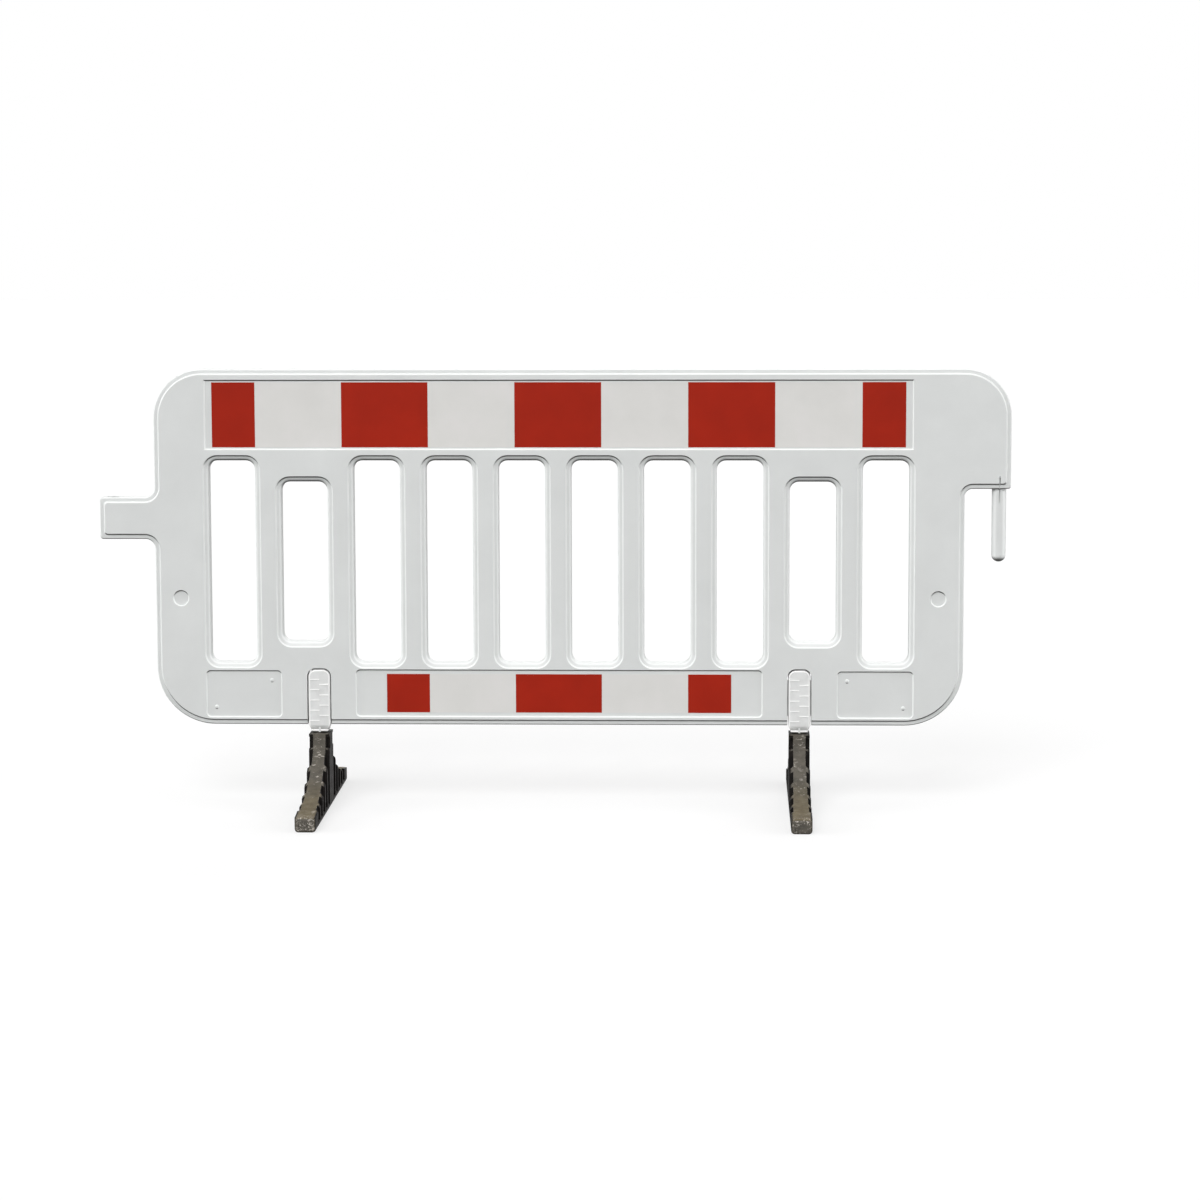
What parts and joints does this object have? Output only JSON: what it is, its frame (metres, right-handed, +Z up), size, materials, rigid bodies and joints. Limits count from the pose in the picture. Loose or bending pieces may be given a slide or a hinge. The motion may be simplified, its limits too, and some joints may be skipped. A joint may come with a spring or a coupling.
{
  "type": "barrier fence",
  "caption": "Hollow white plastic barrier fence panel with upright slots, red and white films, a coupling pin and eye, and dark swivelling cross feet.",
  "frame": {"origin": "on the ground, under the middle of the overall box, which is 11 mm from the middle of the panel because the tongue is longer than the overhang", "axes": "+X along the panel from the tongue to the coupling pin, -Y is the front with the pictured face, +Z up"},
  "size_m": [2.106, 0.7, 1.023],
  "materials": {
    "panel_plastic": "white polyethylene, fine moulded grain",
    "film_white": "white retroreflective film",
    "film_red": "red retroreflective film",
    "natural_plastic": "natural, slightly translucent polypropylene",
    "zinc_steel": "zinc plated",
    "disc_plastic": "black low-friction plastic",
    "recycled_plastic": "dark recycled PVC, rough and dusty"
  },
  "bodies": {
    "panel": {"shell_front": "panel_plastic", "shell_rear": "panel_plastic", "upper_film_front_white": "film_white", "upper_film_front_red": "film_red", "upper_film_rear_white": "film_white", "upper_film_rear_red": "film_red", "lower_film_front_white": "film_white", "lower_film_front_red": "film_red", "lower_film_rear_white": "film_white", "lower_film_rear_red": "film_red", "coupling_pin": "panel_plastic", "pin_dowel": "zinc_steel", "eye_sleeve": "panel_plastic", "column_left": "natural_plastic", "column_right": "natural_plastic", "pivot_nut_left": "zinc_steel", "pivot_nut_right": "zinc_steel", "pivot_bolt_left": "zinc_steel", "pivot_bolt_right": "zinc_steel", "head_washer_left": "zinc_steel", "head_washer_right": "zinc_steel", "swivel_disc_left": "disc_plastic", "swivel_disc_right": "disc_plastic"},
    "left_foot": {"foot_left": "recycled_plastic"},
    "right_foot": {"foot_right": "recycled_plastic"}
  },
  "joints": [
    {"name": "left_foot_swivel", "type": "hinge", "parent": "panel", "child": "left_foot", "pos_m": [-0.547, 0, 0.175], "axis": [0, 0, 1], "range_deg": [-90, 90]},
    {"name": "right_foot_swivel", "type": "hinge", "parent": "panel", "child": "right_foot", "pos_m": [0.569, 0, 0.175], "axis": [0, 0, 1], "range_deg": [-90, 90]}
  ]
}
